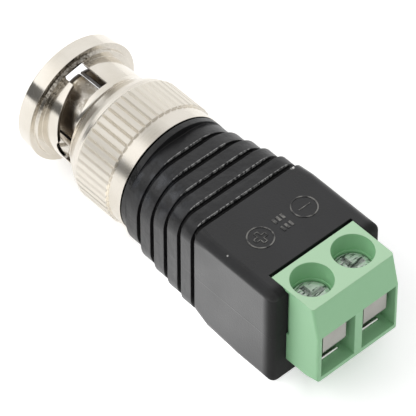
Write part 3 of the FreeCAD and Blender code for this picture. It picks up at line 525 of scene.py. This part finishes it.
def make_nickel(name, edge):
    """Bright turned nickel: satin on the knurl, painted brown shade behind the flange, dull and painted
    in shade inside.
    """
    shader = metal(name, NICKEL, NICKEL_TARNISHED, roughness=0.10, squeeze=TURNED, edge=edge)
    x, y, z = shader.places()
    knurl_rear = nut_high.x - NUT_RING_LENGTH
    flare_end = nut_low.x + FLARE_FRONT + FLARE_LENGTH
    flare = shader.between(x, flare_end - FLARE_SATIN, flare_end, soft=0.3 * MM)
    shader.dull(flare, roughness=0.30)
    knurl = shader.between(x, knurl_rear - KNURL_LENGTH, knurl_rear, soft=0.03 * MM)
    shader.dull(knurl, roughness=0.46)
    shader.tint(knurl, KNURL_NICKEL)
    collar_front = nut_low.x + FLANGE_REAR - COLLAR_FRONT_OVERLAP
    collar_rear = nut_low.x + COLLAR_REAR + COLLAR_REAR_OVERLAP
    speckle = shader.noise(SPECK_SCALE, detail=4.0)
    # Painted shade: speckled brown on the flange's rear face and the collar, on the upper near side
    brown = shader.product(
        shader.between(x, collar_front, collar_rear, soft=0.01 * MM),
        shader.ramp(z, *[AXIS_HEIGHT + over for over in COLLAR_FADE_Z]),
        shader.fall(y, *COLLAR_FADE_Y, last=0.15),
        shader.fall(speckle, low=0.35, high=0.62, last=0.45),
    )
    shader.tint(brown, COLLAR_SHADE_BROWN)
    shader.dull(brown, roughness=0.30)
    ring = shader.above(x, knurl_rear + RING_FINISH_START, soft=0.03 * MM)
    shader.dull(ring, roughness=0.24)
    inside_low, inside_high = [AXIS_HEIGHT + over for over in INSIDE_FADE]
    # Painted shade: the nut's inside is darkened, less so below its axis
    shadowed = shader.product(
        shader.below(shader.axis_radius(AXIS_HEIGHT), NUT_INSIDE, soft=0.03 * MM),
        shader.ramp(z, inside_low, inside_high, low_result=0.12),
    )
    shader.tint(shadowed, INSIDE_SHADE_BROWN)
    shader.dull(shadowed, roughness=0.34)
    return shader


CONTACT_PALE = (0.60, 0.56, 0.50)
CONTACT_BROWN = (0.46, 0.42, 0.36)
CONTACT_SHADE = (0.40, 0.355, 0.29)
CONTACT_HIGHLIGHT = (0.86, 0.83, 0.76)
SPLIT_SHADE = (0.05, 0.045, 0.04)
TIP_SHADE = (0.05, 0.04, 0.03)


def make_contact_plating(name, edge):
    """Turned plating with mottled painted shade and painted highlights on its upper side, and painted
    shade at its splits and its tips.
    """
    shader = metal(name, CONTACT_PALE, CONTACT_BROWN, roughness=0.16, squeeze=TURNED, edge=edge)
    x, y, z = shader.places()
    upper = shader.ramp(z, *[AXIS_HEIGHT + over for over in CONTACT_UPPER_FADE])
    # Painted shade and painted highlights, in patches on the upper side
    shaded = shader.spots(MOTTLE_SCALE, detail=4.0, low=0.42, high=0.56)
    shader.tint(shader.product(upper, shaded), CONTACT_SHADE)
    shader.dull(upper, roughness=0.30)
    bright = shader.spots(HIGHLIGHT_PATCH_SCALE, detail=3.0, low=0.54, high=0.62)
    shader.tint(shader.product(upper, bright), CONTACT_HIGHLIGHT)
    # Painted shade: the splits between the fingers are darkened
    for place, middle in ((y, 0.0), (z, AXIS_HEIGHT)):
        limits = (middle - SPLIT_SHADE_HALF, middle + SPLIT_SHADE_HALF)
        shader.tint(shader.between(place, *limits, soft=0.01 * MM), SPLIT_SHADE)
    # Painted shade: the fingers' tips are darkened
    tip = shader.below(x, contact_low.x - CONTACT_TIP_SHADE, soft=0.06 * MM)
    shader.tint(tip, TIP_SHADE)
    return shader


GREEN = (0.295, 0.575, 0.318)
GREEN_WORN = (0.32, 0.60, 0.345)
GREEN_TOP_HIGHLIGHT = (0.435, 0.655, 0.435)
GREEN_TOP_DEPTH = 0.02 * MM


def make_terminal_green():
    """Green moulding with a painted highlight on its top face."""
    shader = moulded(
        "terminal_green", GREEN, GREEN_WORN, roughness=0.40, grain=SATIN_SCALE, edge=0.10 * MM
    )
    _, _, z = shader.places()
    # Painted highlight: the top face is paler
    top = shader.above(z, block_high.z - GREEN_TOP_DEPTH, soft=0.01 * MM)
    shader.tint(top, GREEN_TOP_HIGHLIGHT)
    return shader


STREAK_SHADE = (0.15, 0.17, 0.16)
STREAK_HIGHLIGHT = (1.0, 1.0, 1.0)
RECESS_SHADE_GREY = (0.13, 0.14, 0.135)


def make_screw_zinc():
    """Zinc in streaks of painted highlight and painted shade, with a little painted shade in the
    screw's recess.
    """
    shader = Shader("screw_zinc")
    shader.plain(Metallic=0.35)
    shader.roughness(shader.noise(CLOUD_SCALE, detail=4.0), 0.18, METAL_SPREAD)
    streaks = shader.noise(STREAK_SCALE, detail=3.0, squeeze=(1.0, 0.22, 0.30))
    # Painted highlights and painted shade: the streaks turn the colour white or dark
    shader.colour(shader.ramp(streaks, low=0.39, high=0.46), STREAK_SHADE, STREAK_HIGHLIGHT)
    _, _, z = shader.places()
    recess_low = screw_high.z - RECESS_BOTTOM
    recess = shader.between(z, recess_low, screw_high.z - RECESS_TOP, soft=0.03 * MM)
    # Painted shade in the cross recess
    shader.tint(shader.product(recess, RECESS_SHADE), RECESS_SHADE_GREY)
    shader.relief([(streaks, 1.0)], STREAK_DEPTH, edge=0.07 * MM)
    return shader


def make_marks_black():
    """The raised marks: a dull black with pale painted highlights in places."""
    return moulded(
        "marks_black",
        colour=(0.02, 0.02, 0.02),
        # Painted highlights: the pale colour that a noise brings in
        worn=(0.17, 0.165, 0.155),
        roughness=0.34,
        grain=GRAIN_SCALE,
        edge=0.03 * MM,
        wear=(MOTTLE_SCALE, 0.40, 0.60),
    )


def make_materials():
    """The finish of each node."""
    housing = make_housing_black()
    green = make_terminal_green()
    nickel = make_nickel("nickel_plating", edge=0.07 * MM)
    contact = make_contact_plating("contact_plating", edge=0.02 * MM)
    screw = make_screw_zinc()
    gold = metal(
        "pin_plating",
        colour=(0.86, 0.66, 0.33),
        tarnish=(0.70, 0.50, 0.24),
        roughness=0.20,
        squeeze=TURNED,
        edge=0.04 * MM,
    )
    # Painted shade: the guards' tin is darker than the same tin on the solder pins
    guard = metal(
        "guard_tin_painted_shade",
        colour=(0.37, 0.36, 0.335),
        tarnish=(0.32, 0.31, 0.285),
        roughness=0.30,
        squeeze=ALONG,
        edge=0.12 * MM,
    )
    # Painted highlight: the solder pins' tin is paler than the same tin on the guards
    strip = metal(
        "strip_tin_painted_highlight",
        colour=(0.90, 0.90, 0.88),
        tarnish=(0.74, 0.73, 0.70),
        roughness=0.26,
        squeeze=ALONG,
        edge=0.12 * MM,
    )
    zinc = metal(
        "zinc_plating",
        colour=(0.82, 0.83, 0.82),
        tarnish=(0.60, 0.61, 0.60),
        roughness=0.14,
        edge=0.07 * MM,
        depth=CAST_DEPTH,
    )
    spring = metal(
        "spring_steel_grey",
        colour=(0.45, 0.45, 0.46),
        tarnish=(0.32, 0.31, 0.30),
        roughness=0.30,
        edge=0.03 * MM,
    )
    wire = metal(
        "tinned_wire",
        colour=(0.68, 0.67, 0.65),
        tarnish=(0.50, 0.49, 0.46),
        roughness=0.32,
        squeeze=ALONG,
    )
    white = moulded(
        "insulator_white",
        colour=(0.80, 0.79, 0.75),
        worn=(0.72, 0.70, 0.65),
        roughness=0.45,
        grain=WAX_SCALE,
        edge=0.06 * MM,
    )
    rubber = moulded(
        "gasket_dark",
        colour=(0.05, 0.05, 0.05),
        worn=(0.08, 0.08, 0.08),
        roughness=0.60,
        grain=WAX_SCALE,
        edge=0.05 * MM,
    )
    return {
        "plug_housing": housing,
        "terminal_block": green,
        "bayonet_nut": nickel,
        "plug_body": contact,
        "outer_contact": contact,
        "front_washer": contact,
        "rear_washer": contact,
        "centre_pin": gold,
        "gasket": rubber,
        "wave_spring": spring,
        "retaining_ring": spring,
        "dielectric": white,
        "rear_insulator": white,
        "left_terminal_screw": screw,
        "right_terminal_screw": screw,
        "left_clamp_nut": zinc,
        "right_clamp_nut": zinc,
        "left_wire_guard": guard,
        "right_wire_guard": guard,
        "left_solder_pin": strip,
        "right_solder_pin": strip,
        "signal_lead": wire,
        "ground_lead": wire,
    }


def dress_nodes(materials):
    """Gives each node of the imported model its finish."""
    for name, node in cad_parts.items():
        for material_slot in node.material_slots:
            material_slot.material = materials[name].material


# Pieces that are added to the solids

def new_piece(name, corners, faces, body, shader):
    """A mesh piece that rides on a body and takes its finish from a material slot."""
    mesh = bpy.data.meshes.new(name)
    mesh.from_pydata([tuple(corner) for corner in corners], [], faces)
    mesh.validate()
    form = bmesh.new()
    form.from_mesh(mesh)
    bmesh.ops.recalc_face_normals(form, faces=form.faces)
    form.to_mesh(mesh)
    form.free()
    piece = bpy.data.objects.new(name, mesh)
    bpy.context.scene.collection.objects.link(piece)
    piece.data.materials.append(shader.material)
    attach(piece, body)
    return piece


def block_corners(x, y, length, width, bottom, top):
    """The eight corners of an upright block centred on a point of the housing's top."""
    return [
        Vector((x + across * length / 2, y + along * width / 2, z))
        for z in (bottom, top)
        for across, along in ((-1, -1), (1, -1), (1, 1), (-1, 1))
    ]


BLOCK_FACES = [(0, 3, 2, 1), (4, 5, 6, 7), (0, 1, 5, 4), (1, 2, 6, 5), (2, 3, 7, 6), (3, 0, 4, 7)]


def blocks(name, places, shader):
    """Several raised blocks in one piece, each given as x, y, length and width."""
    corners = []
    faces = []
    for x, y, length, width in places:
        first = len(corners)
        corners += block_corners(x, y, length, width, MARKS_LOW, MARKS_HIGH)
        faces += [tuple(first + corner for corner in face) for face in BLOCK_FACES]
    return new_piece(name, corners, faces, "housing", shader)


def band_faces(here, there, count):
    """The faces between two closed rows of corners, given the first corner of each."""
    faces = []
    for side in range(count):
        following = (side + 1) % count
        faces.append((here + side, there + side, there + following, here + following))
    return faces


def circle_mark(name, x, y, shader):
    """A raised ring around one sign."""
    inner = CIRCLE_RADIUS - CIRCLE_WIDTH
    rings = [
        (CIRCLE_RADIUS, MARKS_LOW),
        (CIRCLE_RADIUS, MARKS_HIGH),
        (inner, MARKS_HIGH),
        (inner, MARKS_LOW),
    ]
    corners = []
    for step in range(CIRCLE_STEPS):
        angle = math.tau * step / CIRCLE_STEPS
        for radius, z in rings:
            corners.append(Vector((x + radius * math.cos(angle), y + radius * math.sin(angle), z)))
    faces = []
    for step in range(CIRCLE_STEPS):
        here = len(rings) * step
        there = len(rings) * ((step + 1) % CIRCLE_STEPS)
        faces += band_faces(here, there, len(rings))
    return new_piece(name, corners, faces, "housing", shader)


def plus_outline(x, y):
    """The thin lines around a plus sign, as blocks."""
    far = SIGN_LENGTH / 2
    near = SIGN_WIDTH / 2
    arm = far - near
    middle = (far + near) / 2
    lines = []
    for way in (-1, 1):
        lines.append((x + way * far, y, SIGN_LINE, SIGN_WIDTH))
        lines.append((x, y + way * far, SIGN_WIDTH, SIGN_LINE))
        for side in (-1, 1):
            lines.append((x + way * middle, y + side * near, arm, SIGN_LINE))
            lines.append((x + side * near, y + way * middle, SIGN_LINE, arm))
    return lines


def add_marks(shader):
    """Both signs in their rings, and the rows of plain dashes."""
    for name, (x, y) in CIRCLE_PLACES.items():
        circle_mark(f"{name}_circle", x, y, shader)
    x, y = CIRCLE_PLACES["plus"]
    blocks("plus_sign", plus_outline(x, y), shader)
    x, y = CIRCLE_PLACES["minus"]
    blocks("minus_sign", [(x, y, SIGN_LINE, SIGN_LENGTH)], shader)
    places = []
    for row in DASH_ROWS:
        for index in range(DASHES_IN_A_ROW):
            places.append((row, DASH_START + index * DASH_PITCH, *DASH_SIZE))
    blocks("printed_dashes", places, shader)


def swept_plate(corners, faces, outline_at, start, end, steps):
    """Adds a closed plate around the plug's axis, from its outline at each angle."""
    first = len(corners)
    for step in range(steps + 1):
        angle = start + (end - start) * step / steps
        turned = math.radians(angle)
        outline = outline_at(angle)
        for x, radius in outline:
            z = AXIS_HEIGHT + radius * math.sin(turned)
            corners.append(Vector((x, -radius * math.cos(turned), z)))
    count = len(outline)
    for step in range(steps):
        here = first + step * count
        faces += band_faces(here, here + count, count)
    last = first + steps * count
    faces.append(tuple(range(first, first + count)))
    faces.append(tuple(range(last, last + count)))


def smooth_over(piece):
    """Shades a piece smooth, apart from its sharp edges."""
    piece.data.shade_smooth()
    piece.data.set_sharp_from_angle(angle=math.radians(SMOOTH_ANGLE))


def flare_radius(x):
    """The nut's outer radius at a distance from its open end, on the neck and its flare."""
    step, share = divmod(max(0.0, x - FLARE_FRONT) * FLARE_STEPS / FLARE_LENGTH, 1)
    turns = [math.pi * point / FLARE_STEPS for point in (step, step + 1)]
    low, high = [FLARE_RISE * (1 - math.cos(turn)) / 2 for turn in turns]
    return NECK_RADIUS + low + (high - low) * share


def slot_rear_outline(angle, start_turn):
    """A section of the strip that keeps a cam slot at one width, at its rear edge."""
    past = max(0.0, (SLOT_RAMP_START - angle + start_turn) / (SLOT_RAMP_START - SLOT_RAMP_END))
    front = SLOT_FRONT + SLOT_WIDTH + SLOT_RISE * past
    rear = SLOT_REAR + SLOT_OVERLAP
    outline = []
    for share in SLOT_SHARES:
        x = front + (rear - front) * share
        outline.append((nut_low.x + x, flare_radius(x) + SKIN))
    return outline + [(nut_low.x + rear, NUT_BORE), (nut_low.x + front, NUT_BORE)]


def add_slot_rears(shader):
    """Both cam slots' rear edges, which keep the slots at the lugs' width."""
    corners, faces = [], []
    gone = (SLOT_REAR + SLOT_OVERLAP - SLOT_FRONT - SLOT_WIDTH) / SLOT_RISE
    last = SLOT_RAMP_START - (SLOT_RAMP_START - SLOT_RAMP_END) * gone
    for turn in (0, 180):
        swept_plate(
            corners,
            faces,
            lambda angle: slot_rear_outline(angle, turn),
            SLOT_ENTRY_END + SLOT_END_OVERLAP + turn,
            last + SLOT_END_OVERLAP + turn,
            SLOT_STEPS,
        )
    smooth_over(new_piece("cam_slot_rears", corners, faces, "nut", shader))


def add_contact_tips(shader):
    """The rounded tips of the outer contact's four fingers."""
    outline = [(contact_low.x - ahead * MM, radius * MM) for ahead, radius in CONTACT_TIP]
    outline += [(outline[-1][0], CONTACT_BORE), (contact_low.x, CONTACT_BORE)]
    gap = math.degrees(math.asin(CONTACT_FINGER_GAP / 2 / (CONTACT_TIP[0][1] * MM)))
    corners, faces = [], []
    apart = 360 / CONTACT_FINGERS
    for finger in range(CONTACT_FINGERS):
        start = apart * finger + gap
        swept_plate(corners, faces, lambda angle: outline, start, start + apart - 2 * gap, FINGER_STEPS)
    smooth_over(new_piece("contact_tips", corners, faces, "housing", shader))


def add_pressed_spring(shader):
    """A copy of the wave spring that rides on the housing in place of the imported one."""
    piece = bpy.data.objects.new("pressed_spring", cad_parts["wave_spring"].data.copy())
    bpy.context.scene.collection.objects.link(piece)
    piece.data.materials.clear()
    piece.data.materials.append(shader.material)
    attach(piece, "housing")
    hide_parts("wave_spring")
    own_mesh(piece)


# Light, floor and camera

def ray_mix(shader, seen, other):
    """Shows one surface to the camera and to reflections, and another to the light."""
    rays = shader.add("ShaderNodeLightPath").outputs
    mirrored = shader.math("MAXIMUM", rays["Is Glossy Ray"], rays["Is Transmission Ray"])
    mix = shader.add("ShaderNodeMixShader")
    shader.link(shader.math("MAXIMUM", rays["Is Camera Ray"], mirrored), mix.inputs["Fac"])
    shader.link(other, mix.inputs[1])
    shader.link(seen, mix.inputs[2])
    return mix.outputs["Shader"]


# Brightness of the studio by the height of the direction looked in, from 0 straight down
# to 1 straight up: floor, dark walls in front only, bright tent, plain ceiling
STUDIO_FRONT = (
    (0.000, 1.05), (0.526, 1.05), (0.536, 0.15), (0.690, 0.17),
    (0.705, 1.40), (0.908, 1.35), (0.925, 0.64), (1.000, 0.70),
)
STUDIO_BACK = ((0.000, 1.05), (0.900, 1.05), (0.925, 0.64), (1.000, 0.70))
# Between which shares of the direction looked in, along Y, the front turns into the back
STUDIO_TURN = (-0.35, 0.10)
# How bright the studio is on its +X side, against 1 on its -X side, and between which
# shares of the direction along X that changes
STUDIO_FAR_SIDE = 0.66
STUDIO_ACROSS = (-0.5, 0.8)


def studio_bands(nodes, height, stops):
    """The studio's brightness by height, from a row of stops."""
    bands = nodes.add("ShaderNodeValToRGB")
    ramp = bands.color_ramp
    first_stops = len(ramp.elements)
    for index, (place, level) in enumerate(stops):
        if index < first_stops:
            stop = ramp.elements[index]
            stop.position = place
        else:
            stop = ramp.elements.new(place)
        stop.color = (level, level, level, 1)
    nodes.link(height, bands.inputs["Fac"])
    return bands.outputs["Color"]


def make_world():
    """A studio whose brightness goes by the direction looked in."""
    world = bpy.data.worlds.new("studio")
    bpy.context.scene.world = world
    world.use_nodes = True
    world.node_tree.nodes.clear()
    nodes = Nodes(world.node_tree)
    output = nodes.add("ShaderNodeOutputWorld")
    studio = nodes.add("ShaderNodeBackground")
    parts = nodes.add("ShaderNodeSeparateXYZ")
    nodes.link(nodes.add("ShaderNodeTexCoord").outputs["Generated"], parts.inputs["Vector"])
    height = nodes.ramp(parts.outputs["Z"], -1.0, 1.0)
    both = nodes.add("ShaderNodeMix", data_type="RGBA")
    nodes.link(nodes.ramp(parts.outputs["Y"], *STUDIO_TURN), both.inputs["Factor"])
    nodes.link(studio_bands(nodes, height, STUDIO_FRONT), both.inputs["A"])
    nodes.link(studio_bands(nodes, height, STUDIO_BACK), both.inputs["B"])
    nodes.link(both.outputs["Result"], studio.inputs["Color"])
    strength = nodes.ramp(parts.outputs["X"], *STUDIO_ACROSS, 1.0, STUDIO_FAR_SIDE)
    nodes.link(strength, studio.inputs["Strength"])
    nodes.link(studio.outputs["Background"], output.inputs["Surface"])


# The floor's glow: all over, and stronger beside the housing's long side
GLOW_PLAIN = 0.40
GLOW_HEART = 1.15
GLOW_PLACE = (5.5 * MM, -13.0 * MM, 0.0)
GLOW_HEART_RADIUS = 4.5 * MM
GLOW_RADIUS = 15.0 * MM
FLOOR_HALF_SIDE = 1.5
FLOOR_WHITE = (0.86, 0.86, 0.86, 1)


def make_floor():
    """A white floor that shows a glow to the camera and to reflections."""
    mesh = bpy.data.meshes.new("floor")
    quarters = ((-1, -1), (1, -1), (1, 1), (-1, 1))
    corners = [(FLOOR_HALF_SIDE * across, FLOOR_HALF_SIDE * along, 0) for across, along in quarters]
    mesh.from_pydata(corners, [], [(0, 1, 2, 3)])
    floor = bpy.data.objects.new("floor", mesh)
    bpy.context.scene.collection.objects.link(floor)
    shader = Shader("white_floor")
    shader.plain(Base_Color=FLOOR_WHITE, Roughness=0.7)
    near = shader.fall(shader.distance(GLOW_PLACE), GLOW_HEART_RADIUS, GLOW_RADIUS)
    strength = shader.math("ADD", shader.product(near, GLOW_HEART), GLOW_PLAIN)
    glow = shader.add("ShaderNodeEmission")
    shader.link(strength, glow.inputs["Strength"])
    together = shader.add("ShaderNodeAddShader")
    shader.link(shader.surface.outputs["BSDF"], together.inputs[0])
    shader.link(glow.outputs["Emission"], together.inputs[1])
    shown = ray_mix(shader, together.outputs["Shader"], shader.surface.outputs["BSDF"])
    shader.link(shown, shader.tree.nodes["Material Output"].inputs["Surface"])
    floor.data.materials.append(shader.material)


# The one lamp: a square softbox to the left of the camera
KEY_PLACE = Vector((-0.474, -0.629, 0.616))
KEY_SIZE = 0.75
KEY_POWER = 3.3


def make_light():
    """The softbox, aimed at the part and seen in no reflection."""
    lamp = bpy.data.lights.new("tent_key", "AREA")
    lamp.shape = "SQUARE"
    lamp.size = KEY_SIZE
    lamp.energy = KEY_POWER
    light = bpy.data.objects.new("tent_key", lamp)
    light.location = KEY_PLACE
    light.rotation_euler = (-KEY_PLACE).to_track_quat("-Z", "Y").to_euler()
    light.visible_glossy = False
    bpy.context.scene.collection.objects.link(light)


def make_camera():
    """The photograph's view of the part."""
    lens = bpy.data.cameras.new("photo_camera")
    lens.sensor_width = SENSOR_WIDTH
    lens.lens = CAMERA_LENS
    lens.clip_end = VIEW_END
    camera = bpy.data.objects.new("photo_camera", lens)
    azimuth = math.radians(CAMERA_AZIMUTH)
    elevation = math.radians(CAMERA_ELEVATION)
    level = math.cos(elevation)
    away = Vector((level * math.sin(azimuth), -level * math.cos(azimuth), math.sin(elevation)))
    roll = Matrix.Rotation(math.radians(CAMERA_ROLL), 3, "Z")
    turned = away.to_track_quat("Z", "Y").to_matrix() @ roll
    place = Matrix.Translation(CAMERA_TARGET + away * CAMERA_DISTANCE)
    camera.matrix_world = place @ turned.to_4x4()
    bpy.context.scene.collection.objects.link(camera)
    bpy.context.scene.camera = camera


materials = make_materials()
dress_nodes(materials)
add_marks(make_marks_black())
add_slot_rears(make_nickel("nickel_slot_rear", edge=0.0))
add_contact_tips(materials["outer_contact"])
add_pressed_spring(materials["wave_spring"])
make_world()
make_floor()
make_light()
make_camera()
bpy.context.scene.view_settings.view_transform = "Standard"
